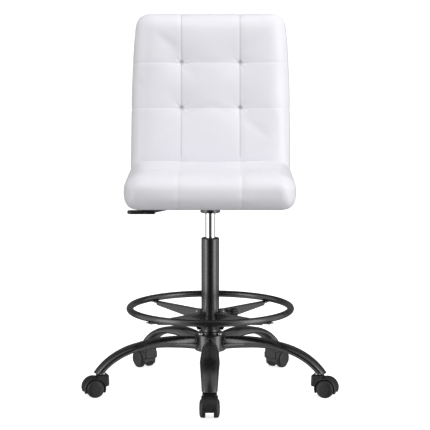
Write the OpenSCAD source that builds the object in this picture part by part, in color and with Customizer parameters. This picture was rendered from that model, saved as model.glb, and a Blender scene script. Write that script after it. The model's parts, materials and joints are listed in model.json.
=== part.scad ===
// Drafting chair: cushioned seat and back on a gas lift, with a foot ring and a five-arm caster base.
// Millimetres. +Z is up, the sitter faces -Y, and the origin is on the floor under the column's axis.

/* [Seat] */
// Width of the seat cushion
seat_w = 464; // [440:2:480]
// Height of the seat's top above the floor, gas lift at rest
seat_top = 631; // [630:1:645]
// Height of the seat's underside above the floor
seat_bottom = 531; // [530:1:534]
// Distance from the column's axis to the front of the seat
seat_reach = 230; // [215:1:240]

/* [Back] */
// Width of the back cushion at its foot
back_w = 468; // [440:2:476]
// Width of the back cushion just below its top corners
back_top_w = 442; // [410:2:450]
// Height of the back's top edge above the floor
back_top = 1044; // [1000:1:1060]
// Thickness of the back cushion
back_t = 80; // [78:1:90]
// Angle that the back leans away from upright
back_lean = 11; // [8:0.5:12]
// Distance of a tuft from the middle of the back
tuft_x = 85; // [70:1:95]
// Heights of the two rows of tufts
tuft_rows = [774, 904];

/* [Gas lift] */
// Outer diameter of the column tube
column_d = 50; // [50:1:51]
// Height of the column tube's top edge
column_top = 428; // [420:1:432]
// Diameter of the chrome cylinder
cylinder_d = 28; // [26:1:28]
// How far the seat goes down from rest
lift_down = 65; // [0:1:65]
// How far the seat goes up from rest
lift_up = 135; // [0:1:135]

/* [Foot ring] */
// Radius of the ring's tube centre line
ring_r = 225.5; // [215:0.5:230]
// Diameter of the ring's tube
ring_tube_d = 19; // [16:0.5:20]
// Height of the ring's tube centre
ring_z = 229; // [226:1:232]
// Width of a spoke
spoke_w = 20; // [18:1:22]

/* [Base] */
// Diameter of the base hub
hub_d = 87; // [84:1:90]
// Number of arms on the base
arm_count = 5; // [5:1:5]
// Greatest width of an arm
arm_w = 53; // [46:1:54]

/* [Casters] */
// Diameter of a wheel
wheel_d = 50; // [48:1:50]
// Width over both wheels of a caster
caster_w = 55; // [52:1:56]
// Gap between the two wheels
wheel_gap = 22; // [20:1:24]
// Distance from the column's axis to a caster's stem
stem_reach = 313.5; // [310:0.5:316]
// How far the axle trails behind the stem
caster_trail = 24; // [20:1:26]

/* [Hidden] */
$fn = 64;

fit = 0.05; // radial clearance of a running fit
gap = 0.3; // clearance between pieces that only lie near each other
sheet = 2.5; // pressed steel thickness

leather = "whitesmoke";
steel = "#2e3033";
plastic = "#36373a";
chrome = "silver";
zinc = "lightgray";
ply = "burlywood";

// Column and gas lift, from the floor up
column_r = column_d / 2;
column_wall = 2;
column_inner_r = column_r - column_wall;
column_bottom = 78;
floor_plate_t = 4;
rod_r = 5;
rod_bottom = 70;
rod_top = 380;
rod_head_h = 14;
rod_seat_z = column_bottom + floor_plate_t;
bearing_h = 5;
bushing_h = 58;
cylinder_r = cylinder_d / 2;
cylinder_bottom = 200;
cylinder_top = 511.5;
cylinder_bore_r = cylinder_r - 2;
pin_r = 4;
pin_low = 499;

// Mechanism under the seat
dust_t = 1.4;
plate_top = seat_bottom - dust_t - 0.2;
plate_bottom = plate_top - sheet;
plate_size = [190, 210];
channel_size = [150, 64];
channel_bottom = 511;
socket_bottom = 499;
socket_r = 27.5;
socket_neck_r = 22;
bolt_spots = [for (x = [-75, 75], y = [-85, 85]) [x, y]];
m6_r = 3;
pivot_x = -50;
pivot_z = 521.5;
lever_rod_r = 4;
lever_end = [-158, -26, 504.5];
grip_root = -152;
grip_step = -183;
grip_tip = -230;
grip_low = 498.5;

// Seat board, an L of bent plywood: the seat panel, a bend, and the back panel
board_t = 11;
board_w = 380;
board_bottom = seat_bottom + gap;
board_front = -190;
bend_r = 30;
back_foot = [188, 560]; // a point [y, z] on the back's front face, level with the sitter's hips
lean_cos = cos(back_lean);
lean_sin = sin(back_lean);
board_depth = back_t - 16; // from the back's front face to the back panel
bend_z = board_bottom + board_t + bend_r;
bend_y = back_foot[0] + (board_depth - bend_r + (bend_z - back_foot[1]) * lean_sin) / lean_cos;
back_low = (seat_bottom + 1.5 - back_foot[1]) / lean_cos;
back_edge = 32; // rounding of the back cushion's edges
back_high = back_edge + (back_top - back_foot[1] - back_edge * (1 - lean_sin)) / lean_cos;
board_high = back_high - 45;
cover_t = 7.5;
cover_inset = 24;

// Foot ring
ring_hub_r = 27.5;
ring_hub_bottom = 169;
ring_hub_top = 218;
ear_x = 34; // the two clamping ears and their bolts
ear_z = 221.5;
spoke_top = ring_z - ring_tube_d / 2 - gap;
spoke_wall = 2;
spoke_tip = ring_r + 12;
knob_turn = 20; // the knob's direction, turned from +X towards the back
knob_z = 212;
knob_r = 12;
knob_start = 62;
knob_end = 80;
boss_r = 7; // the clamp screw's threaded boss on the ring hub
boss_end = 46;
screw_r = 4;

// Base
hub_r = hub_d / 2;
hub_bottom = 110;
hub_top = 158;
hub_step_r = 31;
hub_step_top = 164;
hub_bolt_reach = 37.5;
hub_bolt_depth = 4;
arm_path = [[38, 132], [150, 150], [273, 142], [331, 55]]; // the centre line's curve, [reach, height]
arm_tip_z = 66.5;
arm_steps = 12;
arm_sides = 20;
arm_turn = 360 / arm_count;

// Casters
wheel_r = wheel_d / 2;
wheel_w = (caster_w - wheel_gap) / 2;
axle_r = 3;
hood_r = wheel_r + 6;
hood_pocket_r = wheel_r + 2.5;
hood_w = caster_w - 10;
hood_cap_w = 39; // width of the block that holds the stem
hood_edge = 3; // bevel round the hood's rims
hood_top = 62;
hood_block_x = -16;
hood_low = 13;
hood_web = wheel_gap - 1;
hood_web_low = 20;
stem_r = 5.5;
stem_low = 36;
stem_high = 78;
socket_wall = 3.5;
socket_high = 80;
caster_names = ["hood", "stem", "axle", "wheel_left", "wheel_right"];

// ---- shared shapes ----

// A tube or ring standing on z = low
module ring_solid(r_out, r_in, low, high) {
  translate([0, 0, low])
    difference() {
      cylinder(r = r_out, h = high - low);
      translate([0, 0, -1])
        cylinder(r = r_in, h = high - low + 2);
    }
}

// A bar between two points
module bar(from, to, r) {
  run = to - from;
  length = norm(run);
  translate(from)
    rotate([0, acos(run[2] / length), atan2(run[1], run[0])])
      cylinder(r = r, h = length);
}

// A hexagon head standing on z = 0
module hex_head(across_flats, h) {
  cylinder(r = across_flats / sqrt(3), h = h, $fn = 6);
}

// Turns a child to arm number i; arm 1 points to the front
module at_arm(i) {
  rotate([0, 0, -90 + (i - 1) * arm_turn])
    children();
}

// Children drawn in the back's own frame: X across, Y towards the rear, Z up along the lean
module on_back() {
  translate([0, back_foot[0], back_foot[1]])
    rotate([-back_lean, 0, 0])
      children();
}

// A solid skinned over a list of loops with equal point counts
module skin(loops) {
  n = len(loops[0]);
  last = len(loops) - 1;
  points = [for (loop = loops) for (p = loop) p];
  sides = [for (i = [0:last - 1], j = [0:n - 1])
    [i * n + j, i * n + (j + 1) % n, (i + 1) * n + (j + 1) % n, (i + 1) * n + j]];
  first_cap = [for (j = [n - 1:-1:0]) j];
  last_cap = [for (j = [0:n - 1]) last * n + j];
  polyhedron(points, concat([first_cap], sides, [last_cap]));
}

// ---- base ----

module base_hub() {
  color(steel)
    difference() {
      rotate_extrude()
        polygon([[column_r, hub_bottom], [hub_r - 2, hub_bottom], [hub_r, hub_bottom + 2],
          [hub_r, hub_top - 3], [hub_r - 3, hub_top], [hub_step_r, hub_top],
          [hub_step_r, hub_step_top - 1], [hub_step_r - 1, hub_step_top], [column_r, hub_step_top]]);
      for (a = [45:90:315])
        rotate([0, 0, a])
          translate([hub_bolt_reach, 0, hub_top - hub_bolt_depth])
            cylinder(r = m6_r, h = 20);
    }
}

module hub_bolts() {
  color(zinc)
    for (a = [45:90:315])
      rotate([0, 0, a])
        translate([hub_bolt_reach, 0, 0]) {
          translate([0, 0, hub_top - hub_bolt_depth])
            cylinder(r = m6_r, h = hub_bolt_depth + 0.5);
          translate([0, 0, hub_top])
            hex_head(10, 4.5);
        }
}

// Centre line of an arm at t from 0 to 1, as [reach, height]
function arm_point(t) =
  pow(1 - t, 3) * arm_path[0] + 3 * t * pow(1 - t, 2) * arm_path[1]
  + 3 * t * t * (1 - t) * arm_path[2] + pow(t, 3) * arm_path[3];
function arm_slope(t) =
  let (d = arm_point(min(t + 0.01, 1)) - arm_point(max(t - 0.01, 0))) atan2(d[1], d[0]);
function arm_height(t) = lookup(t, [[0, 36], [0.2, 33], [0.5, 21], [1, 22]]);
function arm_width(t) = lookup(t, [[0, 22], [0.1, 32], [0.2, 40], [0.6, arm_w], [1, 39.5]]);
function arm_flare(t) = 0.34 * pow(max(0, 1 - t / 0.55), 1.2);

// One oval section of an arm: narrow at the top and flared at the foot near the hub
function arm_loop(t) =
  let (c = arm_point(t), a = arm_slope(t), w = arm_width(t) / 2, h = arm_height(t) / 2)
  [for (k = [0:arm_sides - 1])
    let (
      q = k * 360 / arm_sides,
      up = sign(sin(q)) * pow(abs(sin(q)), 0.85),
      side = sign(cos(q)) * pow(abs(cos(q)), 0.85) * (1 - arm_flare(t) * up)
    )
    [c[0] - up * h * sin(a), side * w, c[1] + up * h * cos(a)]];

module base_arm(i) {
  color(steel)
    at_arm(i)
      difference() {
        skin([for (s = [0:arm_steps]) arm_loop(s / arm_steps)]);
        translate([stem_reach - 60, -50, 0])
          cube([120, 100, arm_tip_z]);
        translate([stem_reach, 0, 0])
          cylinder(r = stem_r + socket_wall, h = socket_high);
      }
}

module caster_sockets() {
  color(zinc)
    for (i = [1:arm_count])
      at_arm(i)
        translate([stem_reach, 0, 0])
          difference() {
            translate([0, 0, arm_tip_z])
              cylinder(r = stem_r + socket_wall, h = socket_high - arm_tip_z);
            translate([0, 0, arm_tip_z - 1])
              cylinder(r = stem_r + fit, h = stem_high + 1 - arm_tip_z);
          }
}

module column_tube() {
  color(steel)
    rotate_extrude()
      polygon([[6, column_bottom], [column_r - 3, column_bottom], [column_r, column_bottom + 8],
        [column_r, column_top - 2], [column_r - 0.6, column_top - 0.6], [column_r - 1.5, column_top],
        [column_inner_r, column_top], [column_inner_r, rod_seat_z], [6, rod_seat_z]]);
}

module column_bushing() {
  color(plastic)
    ring_solid(column_inner_r, cylinder_r + fit, column_top - bushing_h, column_top - 1);
}

module thrust_bearing() {
  color(chrome)
    ring_solid(12, 6, rod_seat_z, rod_seat_z + bearing_h);
}

// ---- gas lift ----

module piston_rod() {
  color(chrome)
    union() {
      translate([0, 0, rod_bottom])
        cylinder(r = rod_r, h = rod_top - rod_bottom);
      translate([0, 0, rod_seat_z + bearing_h + 0.2])
        cylinder(r = 9, h = 6);
      translate([0, 0, rod_top - rod_head_h])
        cylinder(r = cylinder_bore_r - 0.08, h = rod_head_h);
    }
}

module retaining_clip() {
  color(zinc)
    ring_solid(8.5, rod_r, column_bottom - 3.4, column_bottom - 0.4);
}

module gas_cylinder() {
  color(chrome)
    rotate_extrude()
      polygon([[rod_r + fit, cylinder_bottom], [cylinder_r - 1, cylinder_bottom],
        [cylinder_r, cylinder_bottom + 1], [cylinder_r, cylinder_top],
        [pin_r + fit, cylinder_top], [pin_r + fit, cylinder_top - 10],
        [cylinder_bore_r, cylinder_top - 10], [cylinder_bore_r, cylinder_bottom + 8],
        [rod_r + fit, cylinder_bottom + 8]]);
}

module release_pin() {
  color(zinc)
    translate([0, 0, pin_low])
      cylinder(r = pin_r, h = pivot_z - lever_rod_r - 0.2 - pin_low);
}

// ---- mechanism and lever ----

module mechanism_housing() {
  wall = sheet;
  x = channel_size[0];
  y = channel_size[1];
  color(steel)
    difference() {
      union() {
        translate([-plate_size[0] / 2, -plate_size[1] / 2, plate_bottom])
          cube([plate_size[0], plate_size[1], sheet]);
        for (side = [-1, 1])
          translate([-x / 2, side * (y - wall) / 2 - wall / 2, channel_bottom])
            cube([x, wall, plate_bottom - channel_bottom]);
        translate([-x / 2, -y / 2, channel_bottom])
          cube([x, y, wall]);
      }
      for (spot = bolt_spots)
        translate([spot[0], spot[1], plate_bottom - 1])
          cylinder(r = m6_r + 0.4, h = sheet + 2);
      translate([0, 0, channel_bottom - 1])
        cylinder(r = socket_neck_r, h = wall + 2);
      translate([pivot_x, -y, pivot_z])
        rotate([-90, 0, 0])
          cylinder(r = m6_r, h = 2 * y);
    }
}

module mechanism_socket() {
  color(steel)
    rotate_extrude()
      polygon([[cylinder_r, socket_bottom], [socket_r - 2.5, socket_bottom],
        [socket_r - 0.7, socket_bottom + 0.8], [socket_r, socket_bottom + 2.5],
        [socket_r, channel_bottom], [socket_neck_r, channel_bottom],
        [socket_neck_r, channel_bottom + sheet], [cylinder_r, channel_bottom + sheet]]);
}

module mechanism_bolts() {
  color(zinc)
    for (spot = bolt_spots)
      translate([spot[0], spot[1], 0]) {
        translate([0, 0, plate_bottom - 4])
          hex_head(10, 4);
        translate([0, 0, plate_bottom - 1])
          cylinder(r = m6_r, h = 14);
      }
}

module t_nuts() {
  color(zinc)
    for (spot = bolt_spots)
      translate([spot[0], spot[1], board_bottom])
        difference() {
          union() {
            cylinder(r = 4.5, h = board_t);
            translate([0, 0, board_t])
              cylinder(r = 9, h = 1.2);
          }
          translate([0, 0, -1])
            cylinder(r = m6_r, h = board_t + 4);
        }
}

module lever_pivot() {
  color(zinc)
    translate([pivot_x, -channel_size[1] / 2 - 2, pivot_z])
      rotate([-90, 0, 0])
        cylinder(r = m6_r, h = channel_size[1] + 4);
}

module lever_rod() {
  elbow = [-62, 0, pivot_z];
  color(steel)
    difference() {
      union() {
        bar([3, 0, pivot_z], elbow, lever_rod_r);
        translate(elbow)
          sphere(r = lever_rod_r + 0.1);
        bar(elbow, lever_end, lever_rod_r);
        translate([pivot_x, -8, pivot_z])
          rotate([-90, 0, 0])
            cylinder(r = 5.1, h = 16);
      }
      translate([pivot_x, -10, pivot_z])
        rotate([-90, 0, 0])
          cylinder(r = m6_r + fit, h = 20);
    }
}

// The hand grip: a square neck that steps down to a flat paddle with a round end
module lever_grip() {
  y = lever_end[1];
  paddle_w = 28;
  paddle_t = 9.5;
  neck_w = 18;
  color(plastic)
    difference() {
      union() {
        translate([grip_step, y - neck_w / 2, grip_low])
          cube([grip_root - grip_step, neck_w, 14.5]);
        translate([grip_tip + paddle_w / 2, y - paddle_w / 2, grip_low])
          cube([grip_step - grip_tip - paddle_w / 2, paddle_w, paddle_t]);
        translate([grip_tip + paddle_w / 2, y, grip_low])
          cylinder(r = paddle_w / 2, h = paddle_t);
      }
      bar([-62, 0, pivot_z], lever_end, lever_rod_r);
    }
}

// ---- seat and back ----

// Side outline of the bent board in [y, z], grown on both faces by grow
module board_profile(grow) {
  outer = bend_r + board_t + grow;
  inner = bend_r - grow;
  up = [lean_sin, lean_cos];
  rear = [lean_cos, -lean_sin];
  bend = [bend_y, bend_z];
  reach = board_high - (bend_z - back_foot[1]) / lean_cos;
  steps = 12;
  turn = 90 - back_lean;
  polygon(concat(
    [[board_front - grow, bend_z - outer]],
    [for (s = [0:steps]) bend + outer * [cos(-90 + turn * s / steps), sin(-90 + turn * s / steps)]],
    [bend + outer * rear + (reach + grow) * up, bend + inner * rear + (reach + grow) * up],
    [for (s = [steps:-1:0]) bend + inner * [cos(-90 + turn * s / steps), sin(-90 + turn * s / steps)]],
    [[board_front - grow, bend_z - inner]]
  ));
}

module board_solid(grow) {
  translate([-board_w / 2 - grow, 0, 0])
    rotate([90, 0, 90])
      linear_extrude(board_w + 2 * grow)
        board_profile(grow);
}

module shell_board() {
  color(ply)
    difference() {
      board_solid(0);
      for (spot = bolt_spots)
        translate([spot[0], spot[1], board_bottom - 1])
          cylinder(r = 4.5, h = board_t + 2);
      tuft_places()
        rotate([-90, 0, 0])
          cylinder(r = 2, h = back_t);
    }
}

module seat_cushion() {
  half = seat_w / 2;
  nose = 46; // radius of the rolled front edge, seen from the front
  nose_run = 1.3; // the roll is this much longer from front to rear
  side = 42;
  foot = 26;
  rear_top = 191.5;
  rear_foot = 182;
  color(leather)
    difference() {
      hull($fn = 24) {
        for (s = [-1, 1]) {
          translate([s * (half - nose), -seat_reach + nose * nose_run, seat_top - nose])
            scale([1, nose_run, 1])
              sphere(r = nose);
          translate([s * (half - foot - 6), -seat_reach + foot + 8, seat_bottom + foot])
            sphere(r = foot);
          translate([s * (half - side), rear_top - side, seat_top - side])
            sphere(r = side);
          translate([s * (half - foot), rear_foot - foot, seat_bottom + foot])
            sphere(r = foot);
        }
      }
      board_solid(gap);
      for (spot = bolt_spots)
        translate([spot[0], spot[1], board_bottom])
          cylinder(r = 9.5, h = board_t + 3);
    }
}

// Outline of the padded panel on the back's rear face, in the back's own frame
module cover_slab(grow, front, rear) {
  r = 30;
  low_x = back_w / 2 - cover_inset - r;
  high_x = back_top_w / 2 - cover_inset - r;
  low_z = back_low + cover_inset + r;
  high_z = back_high - cover_inset - r;
  translate([0, rear, 0])
    rotate([90, 0, 0])
      linear_extrude(rear - front)
        hull($fn = 32)
          for (s = [-1, 1]) {
            translate([s * low_x, low_z])
              circle(r = r + grow);
            translate([s * high_x, high_z])
              circle(r = r + grow);
          }
}

module tuft_places() {
  for (z = tuft_rows, s = [-1, 1])
    on_back()
      translate([s * tuft_x, 0, (z - back_foot[1]) / lean_cos])
        children();
}

module back_cushion() {
  r = back_edge;
  color(leather)
    difference() {
      on_back()
        hull($fn = 24)
          for (s = [-1, 1], y = [r, back_t - r]) {
            translate([s * (back_w / 2 - r), y, back_low + r])
              sphere(r = r);
            translate([s * (back_top_w / 2 - r), y, back_high - r])
              sphere(r = r);
          }
      board_solid(gap);
      on_back()
        cover_slab(gap, board_depth + board_t + gap, back_t + 5);
      tuft_places()
        rotate([-90, 0, 0]) {
          translate([0, 0, -2])
            cylinder(r = 12, h = 22);
          cylinder(r = 2, h = back_t);
        }
    }
}

module tuft_buttons() {
  color(leather)
    tuft_places()
      rotate([-90, 0, 0])
        translate([0, 0, 15]) {
          cylinder(r = 9, h = 5);
          cylinder(r = 1.5, h = board_depth + board_t - 15);
        }
}

module rear_cover() {
  front = board_depth + board_t + 2 * gap;
  color(leather)
    on_back()
      cover_slab(0, front, front + cover_t);
}

module dust_cover() {
  color("#222222")
    difference() {
      translate([-195, board_front + 5, seat_bottom - dust_t])
        cube([390, 365, dust_t]);
      for (spot = bolt_spots)
        translate([spot[0], spot[1], seat_bottom - dust_t - 1])
          cylinder(r = m6_r + 0.2, h = dust_t + 2);
    }
}

// ---- foot ring ----

module foot_ring_tube() {
  color(steel)
    difference() {
      rotate_extrude($fn = 128)
        translate([ring_r, ring_z])
          difference() {
            circle(d = ring_tube_d, $fn = 32);
            circle(d = ring_tube_d - 3, $fn = 32);
          }
      spoke_places()
        translate([ring_r, 0, spoke_top - 1])
          cylinder(r = 2.5, h = 6);
    }
}

module spoke_places() {
  for (a = [45:90:315])
    rotate([0, 0, a])
      children();
}

module ring_hub() {
  color(steel)
    difference() {
      union() {
        rotate_extrude()
          polygon([[column_r + fit, ring_hub_bottom], [ring_hub_r, ring_hub_bottom],
            [ring_hub_r, ring_hub_top - 8], [ring_hub_r - 0.8, ring_hub_top - 7],
            [ring_hub_r - 0.8, ring_hub_top - 2], [ring_hub_r - 1.8, ring_hub_top],
            [column_r + fit, ring_hub_top]]);
        for (s = [-1, 1])
          difference() {
            translate([s * (ear_x - 1) - 6.5, -5, ring_hub_top - 11])
              cube([13, 10, ear_z + 17 - ring_hub_top]);
            translate([0, 0, ring_hub_top - 20])
              cylinder(r = column_r + 1, h = 40);
          }
        rotate([0, 0, knob_turn])
          translate([0, 0, knob_z])
            difference() {
              rotate([0, 90, 0])
                cylinder(r = boss_r, h = boss_end);
              translate([0, 0, -20])
                cylinder(r = column_r + 1, h = 40);
            }
      }
      rotate([0, 0, knob_turn])
        translate([0, 0, knob_z])
          rotate([0, 90, 0])
            cylinder(r = screw_r + fit, h = 60);
      for (s = [-1, 1])
        translate([s * ear_x, -6, ear_z])
          rotate([-90, 0, 0])
            cylinder(r = m6_r, h = 12);
    }
}

// A spoke: a folded channel, deep at the hub and shallow at the ring, with a flat tab at its tip
module ring_spokes() {
  half = spoke_w / 2;
  side = [[20, spoke_top], [20, ring_hub_bottom + 2], [41, ring_hub_bottom + 2],
    [52, ring_hub_bottom + 22], [70, spoke_top - 26], [ring_r - 16, spoke_top - 9],
    [ring_r - 12, spoke_top]];
  color(steel)
    difference() {
      spoke_places()
        difference() {
          union() {
            translate([20, -half, spoke_top - spoke_wall])
              cube([spoke_tip - 20, spoke_w, spoke_wall]);
            for (y = [-half, half - spoke_wall])
              translate([0, y + spoke_wall, 0])
                rotate([90, 0, 0])
                  linear_extrude(spoke_wall)
                    polygon(side);
          }
          translate([0, 0, ring_hub_bottom - 1])
            cylinder(r = ring_hub_r, h = 60);
          translate([ring_r, 0, spoke_top - 5])
            cylinder(r = 2.5, h = 10);
        }
      on_knob()
        cylinder(r = boss_r + gap, h = boss_end + 2);
    }
}

module ring_fasteners() {
  color(zinc)
    union() {
      spoke_places()
        translate([ring_r, 0, 0]) {
          translate([0, 0, spoke_top - spoke_wall - 4])
            cylinder(r = 5, h = 4);
          translate([0, 0, spoke_top - spoke_wall - 1])
            cylinder(r = 2.5, h = 8);
        }
      for (s = [-1, 1])
        translate([s * ear_x, 0, ear_z]) {
          translate([0, -5, 0])
            rotate([90, 0, 0])
              hex_head(11, 4);
          translate([0, -6, 0])
            rotate([-90, 0, 0])
              cylinder(r = m6_r, h = 10);
        }
    }
}

module on_knob() {
  rotate([0, 0, knob_turn])
    translate([0, 0, knob_z])
      rotate([0, 90, 0])
        children();
}

module ring_knob() {
  lobes = 6;
  color(plastic)
    on_knob()
      difference() {
        union() {
          translate([0, 0, knob_start])
            cylinder(r = knob_r, h = knob_end - knob_start);
          translate([0, 0, boss_end + 0.5])
            cylinder(r = 7, h = knob_start - boss_end);
        }
        for (a = [0:360 / lobes:359])
          rotate([0, 0, a])
            translate([knob_r + 2.5, 0, knob_start - 1])
              cylinder(r = 4.5, h = knob_end - knob_start + 2);
        translate([0, 0, boss_end])
          cylinder(r = screw_r, h = knob_start + 12 - boss_end);
      }
}

module ring_clamp_screw() {
  color(zinc)
    on_knob()
      translate([0, 0, column_r + gap])
        cylinder(r = screw_r, h = knob_start + 11 - column_r);
}

// ---- casters: drawn with the stem on the Z axis and the axle trailing towards +X ----

module at_caster(i) {
  at_arm(i)
    translate([stem_reach, 0, 0])
      children();
}

// Children turned so that their Z runs along the axle
module on_axle() {
  translate([caster_trail, 0, wheel_r])
    rotate([90, 0, 0])
      children();
}

// A hood over both wheels: a drum round the axle, a block for the stem, a web between the wheels
module caster_hood(i) {
  half = hood_w / 2;
  cap = hood_cap_w / 2;
  corner = 8;
  drop = 40; // height where the block's inner face starts to round under
  shoulder = 52;
  color(plastic)
    at_caster(i)
      difference() {
        union() {
          on_axle()
            rotate_extrude()
              polygon([[0, -half], [hood_r - hood_edge, -half], [hood_r, hood_edge - half],
                [hood_r, half - hood_edge], [hood_r - hood_edge, half], [0, half]]);
          translate([hood_block_x, -half, drop])
            cube([caster_trail - hood_block_x, hood_w, shoulder - drop]);
          translate([hood_block_x + 10, half, drop])
            rotate([90, 0, 0])
              cylinder(r = 10, h = hood_w);
          translate([hood_block_x + corner, -cap, shoulder - 2])
            cube([14 - hood_block_x - corner, hood_cap_w, hood_top - shoulder + 2]);
          translate([hood_block_x, corner - cap, shoulder - 2])
            cube([corner + 1, hood_cap_w - 2 * corner, hood_top - shoulder + 2]);
          for (s = [-1, 1])
            translate([hood_block_x + corner, s * (cap - corner), shoulder - 2])
              cylinder(r = corner, h = hood_top - shoulder + 2);
        }
        translate([-50, -50, -20])
          cube([120, 100, hood_low + 20]);
        translate([-50, -wheel_gap / 2, -20])
          cube([120, wheel_gap, hood_web_low + 20]);
        for (s = [-1, 1])
          translate([0, s * (hood_web / 2 + 25), 0])
            on_axle()
              translate([0, 0, -25])
                cylinder(r = hood_pocket_r, h = 50);
        on_axle()
          translate([0, 0, -20])
            cylinder(r = axle_r, h = 40);
        translate([0, 0, stem_low])
          cylinder(r = stem_r, h = 40);
      }
}

module caster_stem(i) {
  color(zinc)
    at_caster(i)
      union() {
        translate([0, 0, stem_low])
          cylinder(r = stem_r, h = stem_high - stem_low);
        translate([0, 0, hood_top])
          cylinder(r = stem_r + 4, h = arm_tip_z - hood_top - 0.4);
      }
}

module caster_axle(i) {
  color(zinc)
    at_caster(i)
      on_axle()
        translate([0, 0, -caster_w / 2 + 3])
          cylinder(r = axle_r, h = caster_w - 6);
}

// A wheel: a tread that rounds over into a domed outer face, with a blind bore on its inner side
module caster_wheel(i, s) {
  inner = wheel_gap / 2;
  outer = inner + wheel_w;
  bore = axle_r + fit;
  color(plastic)
    at_caster(i)
      on_axle()
        mirror([0, 0, s > 0 ? 0 : 1])
          rotate_extrude()
            polygon([[bore, inner], [wheel_r - 1, inner], [wheel_r, inner + 1],
              [wheel_r, outer - 7.5], [wheel_r - 0.8, outer - 5], [wheel_r - 2.8, outer - 3],
              [wheel_r - 6.5, outer - 1.5], [wheel_r - 14, outer - 0.4], [0, outer],
              [0, outer - 2.5], [bore, outer - 2.5]]);
}

base_hub();
hub_bolts();
caster_sockets();
column_tube();
column_bushing();
thrust_bearing();
for (i = [1:arm_count]) base_arm(i);
piston_rod();
retaining_clip();
gas_cylinder();
release_pin();
mechanism_housing();
mechanism_socket();
mechanism_bolts();
t_nuts();
lever_pivot();
lever_rod();
lever_grip();
shell_board();
seat_cushion();
back_cushion();
tuft_buttons();
rear_cover();
dust_cover();
foot_ring_tube();
ring_hub();
ring_spokes();
ring_fasteners();
ring_knob();
ring_clamp_screw();
for (i = [1:arm_count]) {
  caster_hood(i);
  caster_stem(i);
  caster_axle(i);
  caster_wheel(i, 1);
  caster_wheel(i, -1);
}
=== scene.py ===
"""Looks of the drafting chair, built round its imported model. Metres, +Z up, the sitter faces -Y."""

import json
import math

import bmesh
import bpy
import numpy as np
from mathutils import Matrix, Vector
from mathutils.bvhtree import BVHTree


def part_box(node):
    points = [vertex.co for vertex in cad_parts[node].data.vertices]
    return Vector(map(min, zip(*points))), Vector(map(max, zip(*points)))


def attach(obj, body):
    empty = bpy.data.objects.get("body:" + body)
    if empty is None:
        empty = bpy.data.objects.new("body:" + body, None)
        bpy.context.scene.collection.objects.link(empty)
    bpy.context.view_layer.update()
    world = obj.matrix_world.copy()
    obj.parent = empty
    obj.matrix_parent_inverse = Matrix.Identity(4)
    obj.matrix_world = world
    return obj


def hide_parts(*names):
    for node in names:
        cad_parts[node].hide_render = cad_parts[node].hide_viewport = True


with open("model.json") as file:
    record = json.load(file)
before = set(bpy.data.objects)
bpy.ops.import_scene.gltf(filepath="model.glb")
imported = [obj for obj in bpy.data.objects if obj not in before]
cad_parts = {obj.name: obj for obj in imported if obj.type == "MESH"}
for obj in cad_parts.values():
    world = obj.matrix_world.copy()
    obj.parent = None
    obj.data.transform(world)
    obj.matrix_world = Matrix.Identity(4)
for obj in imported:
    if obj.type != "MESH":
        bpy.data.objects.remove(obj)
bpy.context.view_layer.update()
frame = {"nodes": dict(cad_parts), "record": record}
NODES = frame["nodes"]

# ---- sizes, from the frame's own boxes ----

CASTERS = range(1, 6)
SEAT_LOW, SEAT_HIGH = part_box("seat_cushion")
BACK_LOW, BACK_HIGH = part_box("back_cushion")
HUB_LOW, HUB_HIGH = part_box("base_hub")
HUB_R = HUB_HIGH.x
BOARD_LOW, BOARD_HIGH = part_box("shell_board")
LEAN = math.radians(11)  # the back's lean, as built
BACK_FOOT = Vector((0, 0.188, 0.560))  # a point of the back's front face
BACK_T = 0.080
BACK_LOW_H = (BACK_LOW.z - BACK_FOOT.z) / math.cos(LEAN) + 0.002
BACK_EDGE = 0.036  # rounding of the back's edges
BACK_HIGH_H = BACK_EDGE + (BACK_HIGH.z - BACK_FOOT.z - BACK_EDGE * (1 - math.sin(LEAN))) / math.cos(LEAN)
BACK_HALF = BACK_HIGH.x  # half the width at the foot
# half the width at shares of the height: nearly straight at first, drawn in towards the top corners
BACK_SIDES = ([0, 0.31, 0.54, 0.74, 0.84, 0.95, 1], [0.2345, 0.2322, 0.2303, 0.2268, 0.2238, 0.2185, 0.2160])
TUFT_X = 0.085
TUFT_Z = (0.774, 0.904)
TUFT_H = [(z - BACK_FOOT.z) / math.cos(LEAN) for z in TUFT_Z]
SEAT_SEAM_Y = (-0.117, 0.014)
STITCH_ROWS = (0.006, 0.011)  # distance of the stitch rows from a seam, on its outer side
CUSHION_PRESSURE = 4.0
SIM_FRAMES = 20
ON_BACK = Matrix.Translation(BACK_FOOT) @ Matrix.Rotation(-LEAN, 4, "X")


# ---- materials ----


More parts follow.
